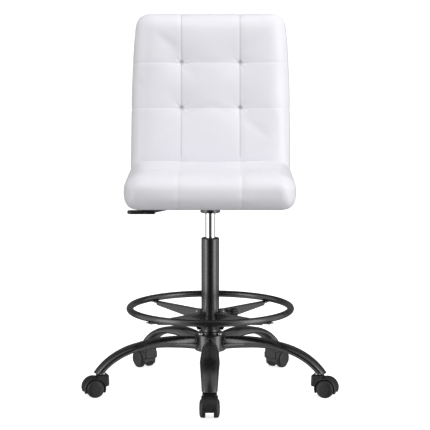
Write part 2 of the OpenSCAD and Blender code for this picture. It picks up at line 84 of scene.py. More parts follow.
class Shader:
    """A Principled material under construction."""

    def __init__(self, name, color, roughness, metallic=0.0):
        self.material = bpy.data.materials.new(name)
        self.material.use_nodes = True
        self.tree = self.material.node_tree
        self.bsdf = self.tree.nodes["Principled BSDF"]
        self.color = color
        self.put("Base Color", (*color, 1))
        self.put("Roughness", roughness)
        self.put("Metallic", metallic)
        self.coords = self.tree.nodes.new("ShaderNodeTexCoord").outputs["Object"]
        self.height = None

    def put(self, socket, value):
        self.bsdf.inputs[socket].default_value = value

    def node(self, kind, inputs=None, **settings):
        made = self.tree.nodes.new(kind)
        for key, value in settings.items():
            setattr(made, key, value)
        for key, value in (inputs or {}).items():
            if isinstance(value, bpy.types.NodeSocket):
                self.tree.links.new(value, made.inputs[key])
            else:
                made.inputs[key].default_value = value
        return made

    def stretched(self, scale):
        return self.node("ShaderNodeMapping", {"Vector": self.coords, "Scale": scale}).outputs[0]

    def noise(self, scale, detail=3.0, stretch=None):
        where = self.stretched(stretch) if stretch else self.coords
        made = self.node("ShaderNodeTexNoise", {"Vector": where, "Scale": scale, "Detail": detail})
        return made.outputs["Fac"]

    def cells(self, scale, feature="F1", stretch=None):
        where = self.stretched(stretch) if stretch else self.coords
        made = self.node("ShaderNodeTexVoronoi", {"Vector": where, "Scale": scale}, feature=feature)
        return made.outputs["Distance"]

    def span(self, value, low, high, start=0.0, end=1.0):
        """value's range low..high carried to start..end."""
        made = self.node("ShaderNodeMapRange", {
            "Value": value, "From Min": low, "From Max": high, "To Min": start, "To Max": end})
        return made.outputs[0]

    def math(self, operation, a, b=0.0):
        return self.node("ShaderNodeMath", {0: a, 1: b}, operation=operation).outputs[0]

    def distance(self, value, place):
        return self.math("ABSOLUTE", self.math("SUBTRACT", value, place))

    def tint(self, factor, other):
        """Mixes another colour into the base colour by factor."""
        made = self.node("ShaderNodeMix", {"Factor": factor}, data_type="RGBA")
        base = self.bsdf.inputs["Base Color"]
        if base.is_linked:
            self.tree.links.new(base.links[0].from_socket, made.inputs["A"])
        else:
            made.inputs["A"].default_value = base.default_value
        made.inputs["B"].default_value = (*other, 1)
        self.tree.links.new(made.outputs["Result"], base)

    def rough(self, value):
        self.tree.links.new(value, self.bsdf.inputs["Roughness"])

    def bump(self, height, distance, strength=1.0):
        inputs = {"Height": height, "Distance": distance, "Strength": strength}
        if self.height is not None:
            inputs["Normal"] = self.height
        self.height = self.node("ShaderNodeBump", inputs).outputs[0]
        self.tree.links.new(self.height, self.bsdf.inputs["Normal"])

    def edges(self, low=0.52, high=0.60):
        """Bright where the surface is a sharp outer edge."""
        made = self.node("ShaderNodeNewGeometry").outputs["Pointiness"]
        return self.span(made, low, high)


def white_leather(name, color=(0.775, 0.766, 0.808), painted_seam_shade=False):
    """Smooth white leatherette: fine pebble grain, soft sheen, faint worn greying in scattered patches.

    The seam-shaded variant also has painted shade in the bottom of the back's two long seams and of its tufts."""
    s = Shader(name, color, 0.42)
    s.put("Specular IOR Level", 0.42)
    s.put("Sheen Weight", 0.10)
    s.put("Sheen Roughness", 0.5)
    s.put("Coat Weight", 0.06)
    s.put("Coat Roughness", 0.35)
    grain = s.cells(950, "SMOOTH_F1")
    pores = s.noise(2300, 2)
    cloud = s.noise(9, 4)
    s.tint(s.span(cloud, 0.45, 0.75, 0.0, 0.35), tuple(c * 0.965 for c in color))
    s.tint(s.span(s.noise(38, 5), 0.60, 0.80, 0.0, 0.12), (0.70, 0.69, 0.67))
    s.rough(s.span(s.noise(60, 3), 0.3, 0.7, 0.36, 0.47))
    s.bump(grain, 0.00012, 0.35)
    s.bump(pores, 0.00005, 0.25)
    s.bump(s.noise(55, 3), 0.0006, 0.16)
    if painted_seam_shade:
        # painted shade: the leather is darkened in the folds of the back's seams and round its tufts
        split = s.node("ShaderNodeSeparateXYZ", {"Vector": s.coords})
        off_seam = s.distance(s.math("ABSOLUTE", split.outputs["X"]), TUFT_X)
        height = split.outputs["Z"]
        on_back = s.span(height, SEAT_HIGH.z - 0.004, SEAT_HIGH.z + 0.010)
        # painted shade in the bottom of the back's two long seams
        s.tint(s.math("MULTIPLY", s.span(off_seam, 0.0006, 0.0021, 0.42, 0.0), on_back), (0.30, 0.29, 0.32))
        # painted shade in and round each tuft
        for tuft_z in TUFT_Z:
            reach = s.math("ADD", off_seam, s.distance(height, tuft_z))
            s.tint(s.span(reach, 0.003, 0.011, 0.60, 0.0), (0.24, 0.23, 0.25))
    return s.material


def black_coat(name, color=(0.0055, 0.0057, 0.0064)):
    """Satin black powder coat: fine orange peel, faint dusty mottling, rubbed edges."""
    s = Shader(name, color, 0.30)
    s.put("Specular IOR Level", 0.75)
    s.put("Coat Weight", 0.5)
    s.put("Coat Roughness", 0.16)
    s.tint(s.span(s.noise(30, 4), 0.45, 0.75, 0.0, 0.4), (0.0095, 0.0095, 0.0105))
    s.tint(s.span(s.edges(0.54, 0.66), 0.0, 1.0, 0.0, 0.12), (0.05, 0.05, 0.055))
    s.rough(s.span(s.noise(90, 3), 0.3, 0.7, 0.25, 0.33))
    s.bump(s.noise(1300, 1), 0.00003, 0.20)
    return s.material


def chrome(name):
    """Polished hard chrome with a faint turned grain."""
    s = Shader(name, (0.84, 0.85, 0.86), 0.15, 1.0)
    s.rough(s.span(s.noise(26, 3, (1, 1, 14)), 0.3, 0.7, 0.13, 0.19))
    s.bump(s.noise(420, 2, (0.2, 0.2, 6)), 0.00002, 0.25)
    return s.material


def zinc(name):
    """Bright zinc plate, slightly yellow, dull in random patches."""
    s = Shader(name, (0.66, 0.66, 0.645), 0.30, 1.0)
    s.tint(s.span(s.noise(160, 3), 0.4, 0.8, 0.0, 0.6), (0.50, 0.50, 0.47))
    s.rough(s.span(s.noise(240, 3), 0.3, 0.7, 0.22, 0.42))
    s.bump(s.noise(900, 2), 0.00004, 0.3)
    return s.material


def nylon(name, color, roughness=0.5, grain=1100, worn=0.16):
    """Moulded black plastic: spark-eroded texture, scuffs, paler worn edges."""
    s = Shader(name, color, roughness)
    s.put("Specular IOR Level", 0.45)
    s.tint(s.span(s.noise(45, 5), 0.5, 0.78, 0.0, 0.5), tuple(c * 1.5 for c in color))
    s.tint(s.span(s.edges(0.54, 0.66), 0.0, 1.0, 0.0, worn), (0.08, 0.08, 0.085))
    s.rough(s.span(s.noise(130, 4), 0.3, 0.7, roughness - 0.08, roughness + 0.10))
    s.bump(s.cells(grain), 0.00012, 0.35)
    return s.material


def plywood(name):
    """Birch ply with long grain, wrapped in the white leatherette where its bend shows between the cushions."""
    s = Shader(name, (0.60, 0.46, 0.30), 0.6)
    s.tint(s.span(s.noise(9, 6, (14, 1, 1)), 0.42, 0.66, 0.0, 0.7), (0.44, 0.31, 0.18))
    split = s.node("ShaderNodeSeparateXYZ", {"Vector": s.coords})
    s.tint(s.span(split.outputs["Y"], 0.120, 0.121), (0.70, 0.69, 0.72))
    s.bump(s.noise(60, 4, (14, 1, 1)), 0.0002, 0.4)
    return s.material


def dust_cloth(name):
    """Black non-woven cover: pressed fibre dots."""
    s = Shader(name, (0.018, 0.018, 0.020), 0.92)
    s.put("Sheen Weight", 0.25)
    s.tint(s.span(s.noise(900, 3), 0.5, 0.7, 0.0, 0.8), (0.05, 0.05, 0.055))
    s.bump(s.cells(420), 0.0003, 0.6)
    return s.material


def thread(name):
    """White polyester sewing thread, twisted."""
    s = Shader(name, (0.80, 0.80, 0.81), 0.55)
    s.put("Sheen Weight", 0.3)
    s.tint(s.span(s.noise(2500, 2), 0.4, 0.7, 0.0, 0.4), (0.66, 0.66, 0.68))
    s.bump(s.noise(3000, 1), 0.0001, 0.5)
    return s.material


def studio_floor(name):
    s = Shader(name, (0.93, 0.93, 0.93), 0.6)
    s.put("Specular IOR Level", 0.15)
    s.put("Emission Color", (1, 1, 1, 1))
    s.put("Emission Strength", 0.80)
    s.tint(s.span(s.noise(2.5, 4), 0.4, 0.7, 0.0, 0.3), (0.915, 0.915, 0.92))
    return s.material


LEATHER = white_leather("white_leather")
# the white leather again, with painted shade in the back's seams and tufts
SEAM_SHADED_LEATHER = white_leather("seam_shaded_white_leather", painted_seam_shade=True)
COAT = black_coat("black_coat")
CHROME = chrome("hard_chrome")
ZINC = zinc("zinc_plate")
HOOD_NYLON = nylon("hood_nylon", (0.010, 0.0102, 0.011), 0.44)
WHEEL_NYLON = nylon("wheel_nylon", (0.013, 0.0132, 0.014), 0.48, 700, 0.14)
GRIP_NYLON = nylon("grip_nylon", (0.008, 0.008, 0.009), 0.42)
PLY = plywood("birch_ply")
CLOTH = dust_cloth("dust_cloth")
THREAD = thread("white_thread")

NODE_MATERIALS = {
    "chrome": CHROME, "zinc": ZINC, "black_steel": COAT, "black_nylon": HOOD_NYLON,
    "wheel_nylon": WHEEL_NYLON, "black_grip": GRIP_NYLON, "plywood": PLY,
    "dust_fabric": CLOTH, "white_leather": LEATHER,
}


def dress_frame():
    """Gives every CAD node the procedural material of its slot."""
    for part in frame["record"]["subparts"]:
        node = NODES[part["node"]]
        node.data.materials.clear()
        node.data.materials.append(NODE_MATERIALS[part["material_slot"]])


# ---- mesh helpers ----


def piece(name, mesh, material, body, smooth_angle=None):
    """Links a mesh as a finished piece that rides on a CAD body."""
    made = bpy.data.objects.new(name, mesh)
    bpy.context.scene.collection.objects.link(made)
    mesh.materials.clear()
    mesh.materials.append(material)
    shade(made, smooth_angle)
    if body:
        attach(made, body)
    return made


def shade(made, angle=None):
    mesh = made.data
    mesh.polygons.foreach_set("use_smooth", [True] * len(mesh.polygons))
    if angle is not None:
        mesh.set_sharp_from_angle(angle=math.radians(angle))
    mesh.update()


def mesh_of(name, points, faces):
    mesh = bpy.data.meshes.new(name)
    mesh.from_pydata([tuple(p) for p in points], [], faces)
    mesh.update()
    return mesh


def skin(name, loops, closed_ends=True):
    """A mesh over loops of equally many points."""
    n = len(loops[0])
    points = [p for loop in loops for p in loop]
    faces = [(i * n + j, i * n + (j + 1) % n, (i + 1) * n + (j + 1) % n, (i + 1) * n + j)
             for i in range(len(loops) - 1) for j in range(n)]
    if closed_ends:
        faces.append(tuple(range(n - 1, -1, -1)))
        faces.append(tuple((len(loops) - 1) * n + j for j in range(n)))
    return mesh_of(name, points, faces)


def lathe(name, profile, steps=64):
    """A solid of revolution about Z from [(r, z), ...]; a point at r = 0 closes an end."""
    made = bmesh.new()
    rings = []
    for r, z in profile:
        if r < 1e-7:
            rings.append([made.verts.new((0, 0, z))])
        else:
            turns = [2 * math.pi * k / steps for k in range(steps)]
            rings.append([made.verts.new((r * math.cos(t), r * math.sin(t), z)) for t in turns])
    for a, b in zip(rings, rings[1:]):
        for k in range(steps):
            j = (k + 1) % steps
            if len(a) == 1:
                made.faces.new((a[0], b[k], b[j]))
            elif len(b) == 1:
                made.faces.new((a[k], b[0], a[j]))
            else:
                made.faces.new((a[k], b[k], b[j], a[j]))
    bmesh.ops.recalc_face_normals(made, faces=made.faces)
    mesh = bpy.data.meshes.new(name)
    made.to_mesh(mesh)
    made.free()
    return mesh


def tube_along(name, points, radius, sides=10, closed=False):
    """A round tube through points."""
    n = len(points)
    path = [Vector(p) for p in points]
    loops = []
    guide = Vector((0.1, 0.2, 1)).normalized()
    for i, p in enumerate(path):
        ahead = path[(i + 1) % n] if closed or i + 1 < n else p
        behind = path[i - 1] if closed or i else p
        run = (ahead - behind).normalized()
        side = run.cross(guide)
        side = side.normalized() if side.length > 1e-6 else run.orthogonal().normalized()
        up = side.cross(run)
        loops.append([p + radius * (math.cos(t) * side + math.sin(t) * up)
                      for t in (2 * math.pi * k / sides for k in range(sides))])
    if closed:
        loops.append(loops[0])
    mesh = skin(name, loops, not closed)
    return mesh


def moved(mesh, matrix):
    mesh.transform(matrix)
    return mesh


def joined(name, meshes):
    """One mesh from several."""
    made = bmesh.new()
    for mesh in meshes:
        made.from_mesh(mesh)
    out = bpy.data.meshes.new(name)
    made.to_mesh(out)
    made.free()
    for mesh in meshes:
        bpy.data.meshes.remove(mesh)
    return out


def coords(mesh):
    flat = np.zeros(len(mesh.vertices) * 3)
    mesh.vertices.foreach_get("co", flat)
    return flat.reshape(-1, 3)


def set_coords(mesh, points):
    mesh.vertices.foreach_set("co", points.reshape(-1))
    mesh.update()


def normals(mesh):
    flat = np.zeros(len(mesh.vertices) * 3)
    mesh.vertices.foreach_get("normal", flat)
    return flat.reshape(-1, 3)


def apply_modifiers(made):
    """Replaces the object's mesh by its modified one."""
    graph = bpy.context.evaluated_depsgraph_get()
    graph.update()
    fresh = bpy.data.meshes.new_from_object(made.evaluated_get(graph), depsgraph=graph)
    old = made.data
    made.modifiers.clear()
    made.data = fresh
    bpy.data.meshes.remove(old)


def bell(distance, width):
    """1 at distance 0, falling smoothly to 0 over width."""
    return np.exp(-(distance / width) ** 2)


# ---- cushions ----


def rounded_block(name, low, high, radius, cells=26):
    """A box whose corners are rounded by radius(points): a radius along each axis for each point."""
    made = bmesh.new()
    bmesh.ops.create_cube(made, size=2)
    bmesh.ops.subdivide_edges(made, edges=made.edges, cuts=cells, use_grid_fill=True)
    mesh = bpy.data.meshes.new(name)
    made.to_mesh(mesh)
    made.free()
    low, high = np.array(low), np.array(high)
    half = (high - low) / 2
    p = coords(mesh)
    r = np.minimum(radius(p).reshape(len(p), -1), half)
    p = p * half
    inner = np.clip(p, -(half - r), half - r)
    out = (p - inner) / r
    reach = np.linalg.norm(out, axis=1, keepdims=True)
    p = inner + out * r / np.maximum(reach, 1e-9)
    set_coords(mesh, p + (low + high) / 2)
    return mesh


def remeshed(mesh, voxel, name):
    made = bpy.data.objects.new(name, mesh)
    bpy.context.scene.collection.objects.link(made)
    grid = made.modifiers.new("grid", "REMESH")
    grid.mode = "VOXEL"
    grid.voxel_size = voxel
    apply_modifiers(made)
    return made


def puff(made, held, pressure, cap, softness, stiffness=20.0, bending=3.0):
    """Fills a cushion's skin with air by cloth simulation. Held vertices stay; none moves more than cap.

    The foam under the skin then evens out its folds, more with more softness."""
    rest = coords(made.data)
    group = made.vertex_groups.new(name="held")
    for weight in np.unique(held[held > 0]):
        group.add([int(i) for i in np.flatnonzero(held == weight)], float(weight), "REPLACE")
    cloth = made.modifiers.new("air", "CLOTH")
    cloth.settings.vertex_group_mass = "held"
    cloth.settings.quality = 5
    cloth.settings.mass = 0.3
    cloth.settings.tension_stiffness = stiffness
    cloth.settings.compression_stiffness = stiffness
    cloth.settings.shear_stiffness = stiffness / 2
    cloth.settings.bending_stiffness = bending
    cloth.settings.use_pressure = True
    cloth.settings.uniform_pressure_force = pressure
    cloth.settings.effector_weights.gravity = 0
    cloth.collision_settings.use_collision = False
    cloth.point_cache.frame_start = 1
    cloth.point_cache.frame_end = SIM_FRAMES
    scene = bpy.context.scene
    scene.frame_start, scene.frame_end = 1, SIM_FRAMES
    for step in range(1, SIM_FRAMES + 1):
        scene.frame_set(step)
    graph = bpy.context.evaluated_depsgraph_get()
    result = coords(made.evaluated_get(graph).data)
    made.modifiers.clear()
    scene.frame_set(1)
    move = result - rest
    size = np.maximum(np.linalg.norm(move, axis=1, keepdims=True), 1e-9)
    set_coords(made.data, rest + move * cap * (1 - np.exp(-size / cap)) / size)
    made.vertex_groups.clear()
    padding = made.modifiers.new("padding", "SMOOTH")
    padding.factor, padding.iterations = 0.5, softness
    apply_modifiers(made)


def smoothed(made, levels=1):
    fine = made.modifiers.new("fine", "SUBSURF")
    fine.levels = levels
    fine.render_levels = levels
    apply_modifiers(made)


def carve(made, depth):
    """Presses the surface in along its normals by depth(points, normals)."""
    made.data.update()
    p, n = coords(made.data), normals(made.data)
    set_coords(made.data, p - n * depth(p, n)[:, None])


def outline_walk(corners, radii, step):
    """Points and outward normals along an open path of straight runs with rounded corners."""
    out = []
    corners = [Vector(c) for c in corners]
    last = len(corners) - 1
    here = corners[0]
    for i in range(1, last + 1):
        run = (corners[i] - corners[i - 1]).normalized()
        trim = radii[i] if i < last else 0
        stop = corners[i] - run * trim
        count = max(1, int((stop - here).length / step))
        normal = Vector((run.y, -run.x))
        out += [(here.lerp(stop, k / count), normal) for k in range(count)]
        if i < last:
            turn = (corners[i + 1] - corners[i]).normalized()
            after = Vector((turn.y, -turn.x))
            begin = corners[i] + turn * trim
            centre = stop - normal * trim
            bends = max(2, int(trim * 1.57 / step))
            for k in range(bends):
                share = k / bends
                way = (normal.lerp(after, share)).normalized()
                out.append((centre + way * trim, way))
            here = begin
        else:
            out.append((corners[i], normal))
    return out


def stitch_row(tree, places, radius=0.00042, length=0.0034, every=0.0046):
    """Small thread loops laid on a surface along places, a list of (point, outward direction)."""
    hits = []
    for point, way in places:
        spot = tree.ray_cast(point + way * 0.05, -way, 0.12)
        if spot[0] is not None:
            hits.append((spot[0], spot[1]))
    meshes_points, faces = [], []
    gone = 0.0
    sides = 6
    for (a, na), (b, _) in zip(hits, hits[1:]):
        span = (b - a).length
        gone += span
        if gone < every or span > 0.02:
            continue
        gone = 0.0
        run = (b - a).normalized()
        side = run.cross(na).normalized()
        start = len(meshes_points)
        bow = [(-0.5, 0.35, -0.0004), (-0.38, 0.85, 0.0001), (0, 1.0, 0.00028), (0.38, 0.85, 0.0001),
               (0.5, 0.35, -0.0004)]
        for along, fat, lift in bow:
            middle = a + run * along * length + na * lift
            for k in range(sides):
                t = 2 * math.pi * k / sides
                meshes_points.append(middle + radius * fat * (math.cos(t) * side + math.sin(t) * na))
        for i in range(len(bow) - 1):
            for k in range(sides):
                j = (k + 1) % sides
                faces.append((start + i * sides + k, start + i * sides + j,
                              start + (i + 1) * sides + j, start + (i + 1) * sides + k))
        end = start + (len(bow) - 1) * sides
        faces.append(tuple(start + k for k in range(sides - 1, -1, -1)))
        faces.append(tuple(end + k for k in range(sides)))
    return mesh_of("stitches", meshes_points, faces)


def surface_tree(made):
    mesh = made.data
    return BVHTree.FromPolygons([v.co.copy() for v in mesh.vertices],
                                [tuple(f.vertices) for f in mesh.polygons])


def seam_crease(distance):
    """Depth of the fold at a seam, with the shallow ditches of its stitch rows on one side."""
    fold = 0.0009 * bell(distance, 0.0022) + 0.0006 * bell(distance, 0.007)
    rows = 0.0003 * bell(distance - STITCH_ROWS[0], 0.002) + 0.0002 * bell(distance - STITCH_ROWS[1], 0.002)
    return fold + rows


def puckers(reach, turn, folds=7):
    """Radial folds round a tuft."""
    return 0.0009 * np.cos(folds * turn + 1.1) * bell(reach - 0.013, 0.008)


def fitted(points, low, high):
    """Stretches points so that they just fill the box from low to high."""
    low, high = np.array(low), np.array(high)
    now_low, now_high = points.min(axis=0), points.max(axis=0)
    return low + (points - now_low) * (high - low) / (now_high - now_low)


def make_seat():
    """The seat cushion: a rolled front edge, a flat foot and rear, seams from back to front and across."""
    inset = Vector((0.003, 0.004, 0.0))
    low, high = SEAT_LOW + inset, SEAT_HIGH - inset - Vector((0, 0, 0.004))
    height = SEAT_HIGH.z - SEAT_LOW.z

    def radius(p):
        front = np.clip(-p[:, 1] * 1.6 - 0.4, 0, 1)
        top = np.clip((p[:, 2] + 1) / 2, 0, 1)
        base = 0.024 + 0.018 * top + 0.006 * front
        return np.column_stack([base, base + 0.016 * top * front, base])

    made = remeshed(rounded_block("seat_cushion_skin", low, high, radius), 0.005, "seat_cushion_skin")
    mesh = made.data
    p = coords(mesh)
    rise = (p[:, 2] - SEAT_LOW.z) / height
    # the rear wall leans with the back, the front corners and the foot draw in, the middle dips
    rear = np.clip((p[:, 1] - 0.08) / 0.11, 0, 1)
    p[:, 1] -= rear * (1 - rise) * 0.014
    ahead = np.clip((-p[:, 1] - 0.14) / 0.09, 0, 1)
    p[:, 0] *= 1 - 0.022 * ahead ** 2
    p[:, 0] *= 1 - 0.016 * np.clip(1 - rise * 4, 0, 1)
    p[:, 2] -= 0.0035 * bell(p[:, 0], 0.085) * np.clip((rise - 0.5) * 2, 0, 1)
    set_coords(mesh, p)
    seam_x = np.abs(np.abs(p[:, 0]) - TUFT_X)
    seam_y = np.min([np.abs(p[:, 1] - y) for y in SEAT_SEAM_Y], axis=0)
    topside = np.clip((rise - 0.80) / 0.1, 0, 1)
    knot = np.hypot(seam_x, seam_y)

    def pull(p, n):
        seams = 0.0012 * bell(seam_x, 0.011) + 0.0010 * bell(seam_y, 0.012) * topside
        knots = 0.0070 * np.exp(-knot / 0.020) * topside
        return (seams + knots) * (rise > 0.05)

    carve(made, pull)
    held = np.zeros(len(p))
    held[(rise < 0.07) | (p[:, 1] > 0.16)] = 1
    held[(knot < 0.007) & (rise > 0.9)] = 1
    puff(made, held, CUSHION_PRESSURE, 0.005, 14)
    p = coords(made.data)
    set_coords(made.data, fitted(p, SEAT_LOW + Vector((-0.0025, 0, 0)), SEAT_HIGH + Vector((0.0025, 0, 0))))
    smoothed(made)
    p = coords(made.data)
    fine_rise = (p[:, 2] - SEAT_LOW.z) / height
    upper = np.clip((fine_rise - 0.78) / 0.08, 0, 1)

    def seams(p, n):
        along = seam_crease(np.abs(p[:, 0]) - TUFT_X) * (fine_rise > 0.03)
        across = np.max([seam_crease(p[:, 1] - y) for y in SEAT_SEAM_Y], axis=0) * upper
        folds = sum(puckers(np.hypot(np.abs(p[:, 0]) - TUFT_X, p[:, 1] - y),
                            np.arctan2(p[:, 1] - y, np.abs(p[:, 0]) - TUFT_X)) for y in SEAT_SEAM_Y)
        return np.maximum(along, across) + folds * upper

    carve(made, seams)
    made.data.materials.append(SEAM_SHADED_LEATHER)
    shade(made)
    tree = surface_tree(made)
    front, top, foot_z = SEAT_LOW.y, SEAT_HIGH.z, SEAT_LOW.z
    path = outline_walk([(0.165, top), (front, top), (front, foot_z), (front + 0.07, foot_z)],
                        [0, 0.046, 0.026, 0], 0.0012)
    rows = []
    for side in (-1, 1):
        for off in STITCH_ROWS:
            x = side * (TUFT_X + off)
            places = [(Vector((x, q.x, q.y)), Vector((0, -w.x, -w.y))) for q, w in path]
            rows.append(stitch_row(tree, places))
    for y in SEAT_SEAM_Y:
        span = np.arange(-0.205, 0.205, 0.0012)
        places = [(Vector((x, y + STITCH_ROWS[0], top)), Vector((0, 0, 1))) for x in span]
        rows.append(stitch_row(tree, places))
    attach(made, "seat")
    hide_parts("seat_cushion")
    piece("seat_stitching", joined("seat_stitching", rows), THREAD, "seat")
    return made


def make_back():
    """The back cushion, stitched in its own upright frame and then leant back: panels pulled in at four tufts."""
    low = Vector((-BACK_HALF + 0.003, 0.006, BACK_LOW_H))
    high = Vector((BACK_HALF - 0.003, BACK_T - 0.001, BACK_HIGH_H - 0.003))

    def radius(p):
        front = np.clip(-p[:, 1], 0, 1)
        return np.column_stack([0.034 + 0.022 * front, 0.040 + 0 * front, 0.034 + 0.006 * front])

    made = remeshed(rounded_block("back_cushion_skin", low, high, radius), 0.005, "back_cushion_skin")
    mesh = made.data
    p = coords(mesh)
    seam_x = np.abs(np.abs(p[:, 0]) - TUFT_X)
    seam_h = np.min([np.abs(p[:, 2] - h) for h in TUFT_H], axis=0)
    knot = np.hypot(seam_x, seam_h)
    facing = np.clip((0.045 - p[:, 1]) / 0.02, 0, 1)

    def pull(p, n):
        near = bell(knot, 0.075)
        seams = 0.0012 * bell(seam_x, 0.011) + 0.0010 * bell(seam_h, 0.012) * near
        return (seams + 0.0125 * np.exp(-knot / 0.024)) * facing

    carve(made, pull)
    held = np.zeros(len(p))
    held[p[:, 1] > BACK_T - 0.014] = 1
    held[(knot < 0.008) & (facing > 0)] = 1
    puff(made, held, CUSHION_PRESSURE, 0.005, 12, bending=6.0)
    p = fitted(coords(made.data), Vector((-BACK_HALF - 0.001, -0.001, BACK_LOW_H)),
               Vector((BACK_HALF + 0.001, BACK_T, BACK_HIGH_H)))
    share = np.clip((p[:, 2] - BACK_LOW_H) / (BACK_HIGH_H - BACK_LOW_H), 0, 1)
    p[:, 0] *= np.interp(share, *BACK_SIDES) / BACK_HALF
    set_coords(made.data, p)
    smoothed(made)

    def seams(p, n):
        front = np.clip((0.060 - p[:, 1]) / 0.01, 0, 1)
        along = seam_crease(np.abs(p[:, 0]) - TUFT_X)
        across = 0.8 * np.max([seam_crease(p[:, 2] - h) for h in TUFT_H], axis=0)
        knots = 0
        for h in TUFT_H:
            reach = np.hypot(np.abs(p[:, 0]) - TUFT_X, p[:, 2] - h)
            turn = np.arctan2(p[:, 2] - h, np.abs(p[:, 0]) - TUFT_X)
            knots = knots + 0.0060 * bell(reach, 0.0046) + 0.8 * puckers(reach, turn)
        return (np.maximum(along, across) + knots) * front

    carve(made, seams)
    made.data.materials.append(SEAM_SHADED_LEATHER)
    shade(made)
    tree = surface_tree(made)
    rows = []
    path = outline_walk([(0.0, 0.06), (0.0, BACK_HIGH_H), (BACK_T, BACK_HIGH_H), (BACK_T, BACK_HIGH_H - 0.012)],
                        [0, 0.034, 0.006, 0], 0.0012)
    for side in (-1, 1):
        for off in STITCH_ROWS:
            x = side * (TUFT_X + off)
            places = [(Vector((x, q.x, q.y)), Vector((0, -w.x, -w.y))) for q, w in path]
            rows.append(stitch_row(tree, places))
    for h in TUFT_H:
        span = np.arange(-0.225, 0.225, 0.0012)
        places = [(Vector((x, -0.01, h + STITCH_ROWS[0])), Vector((0, -1, 0))) for x in span]
        rows.append(stitch_row(tree, places))
    made.data.transform(ON_BACK)
    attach(made, "seat")
    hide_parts("back_cushion")
    stitches = joined("back_stitching", rows)
    piece("back_stitching", moved(stitches, ON_BACK), THREAD, "seat")
    return made


def make_tuft_buttons():
    """Covered buttons drawn deep into the tufts, each on its twine."""
    parts = []
    for side in (-1, 1):
        for h in TUFT_H:
            dome = lathe("button", [(0, 0.0), (0.003, 0.0001), (0.006, 0.0008), (0.0078, 0.0022),
                                    (0.0080, 0.0036), (0.0062, 0.0046), (0.0012, 0.0047),
                                    (0.0012, 0.0500), (0, 0.0500)], 32)
            turn = Matrix.Translation((side * TUFT_X, 0.0205, h)) @ Matrix.Rotation(-math.pi / 2, 4, "X")
            parts.append(moved(dome, ON_BACK @ turn))
    made = piece("tuft_button_set", joined("tuft_button_set", parts), LEATHER, "seat", 50)
    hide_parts("tuft_buttons")


def make_rear_cover():
    """The padded panel that closes the back's rear face, with a piped edge."""
    low_box, high_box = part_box("rear_cover")
    low_x = high_box.x
    high_x = BACK_SIDES[1][-1] - 0.023
    low_h = BACK_LOW_H + 0.0225
    high_h = BACK_HIGH_H - 0.024
    corner = 0.030

    def outline(inset, count=14):
        out = []
        for cx, ch, start in ((high_x, high_h, 0), (-high_x, high_h, 90), (-low_x, low_h, 180), (low_x, low_h, 270)):
            sx, sh = math.copysign(1, cx), 1 if ch == high_h else -1
            mx, mh = cx - sx * corner, ch - sh * corner
            for k in range(count + 1):
                t = math.radians(start + 90 * k / count)
                out.append((mx + (corner - inset) * math.cos(t), mh + (corner - inset) * math.sin(t)))
        return out

    front = 0.0757
    rings = [(0.0, front), (0.0, front + 0.0030), (0.0012, front + 0.0052), (0.0040, front + 0.0062),
             (0.0090, front + 0.0066), (0.0110, front + 0.0058), (0.0128, front + 0.0066),
             (0.0200, front + 0.0078), (0.0290, front + 0.0084)]
    loops = [[(x, y, h) for x, h in outline(inset)] for inset, y in rings]
    n = len(loops[0])
    made = bmesh.new()
    rows = [[made.verts.new(p) for p in loop] for loop in loops]
    for a, b in zip(rows, rows[1:]):
        for k in range(n):
            made.faces.new((a[k], a[(k + 1) % n], b[(k + 1) % n], b[k]))
    made.faces.new(rows[0])
    crown = made.faces.new(rows[-1])
    bmesh.ops.recalc_face_normals(made, faces=made.faces)
    del crown
    mesh = bpy.data.meshes.new("rear_cover_skin")
    made.to_mesh(mesh)
    made.free()
    mesh.transform(ON_BACK)
    cover = piece("rear_cover_skin", mesh, LEATHER, "seat", 60)
    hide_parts("rear_cover")


# ---- base ----

ARM_PATH = [(0.038, 0.132), (0.150, 0.150), (0.273, 0.142), (0.331, 0.055)]  # [reach, height], as built
ARM_TIP_Z = 0.0665
ARM_TURN = math.radians(72)
STEM_REACH = 0.3135
AXLE = Vector((0.024, 0, 0.025))  # a caster's axle, seen from its stem


def around(i):
    """Placement of the i-th arm: arm 1 points to the front."""
    return Matrix.Rotation(-math.pi / 2 + (i - 1) * ARM_TURN, 4, "Z")


def arm_point(t):
    weights = ((1 - t) ** 3, 3 * t * (1 - t) ** 2, 3 * t * t * (1 - t), t ** 3)
    return sum((w * Vector(p) for w, p in zip(weights, ARM_PATH)), Vector((0, 0)))


def arm_loop(t, sides=64, seam=0.0006):
    """Oval section of an arm, flared at its foot near the hub, with the weld seam along both flanks."""
    centre = arm_point(t)
    run = arm_point(min(t + 0.01, 1)) - arm_point(max(t - 0.01, 0))
    slope = math.atan2(run.y, run.x)
    width = np.interp(t, [0, 0.1, 0.2, 0.6, 1], [0.022, 0.032, 0.040, 0.053, 0.0395]) / 2
    height = np.interp(t, [0, 0.2, 0.5, 1], [0.036, 0.033, 0.021, 0.022]) / 2
    flare = 0.34 * max(0.0, 1 - t / 0.55) ** 1.2
    loop = []
    for k in range(sides):
        q = 2 * math.pi * k / sides
        up = math.copysign(abs(math.sin(q)) ** 0.95, math.sin(q))
        side = math.copysign(abs(math.cos(q)) ** 0.88, math.cos(q)) * (1 - flare * up)
        lip = 1 + seam / width * math.exp(-(math.sin(q) / 0.10) ** 2)
        loop.append(Vector((centre.x - up * height * math.sin(slope), side * lip * width,
                            centre.y + up * height * math.cos(slope))))
    return loop


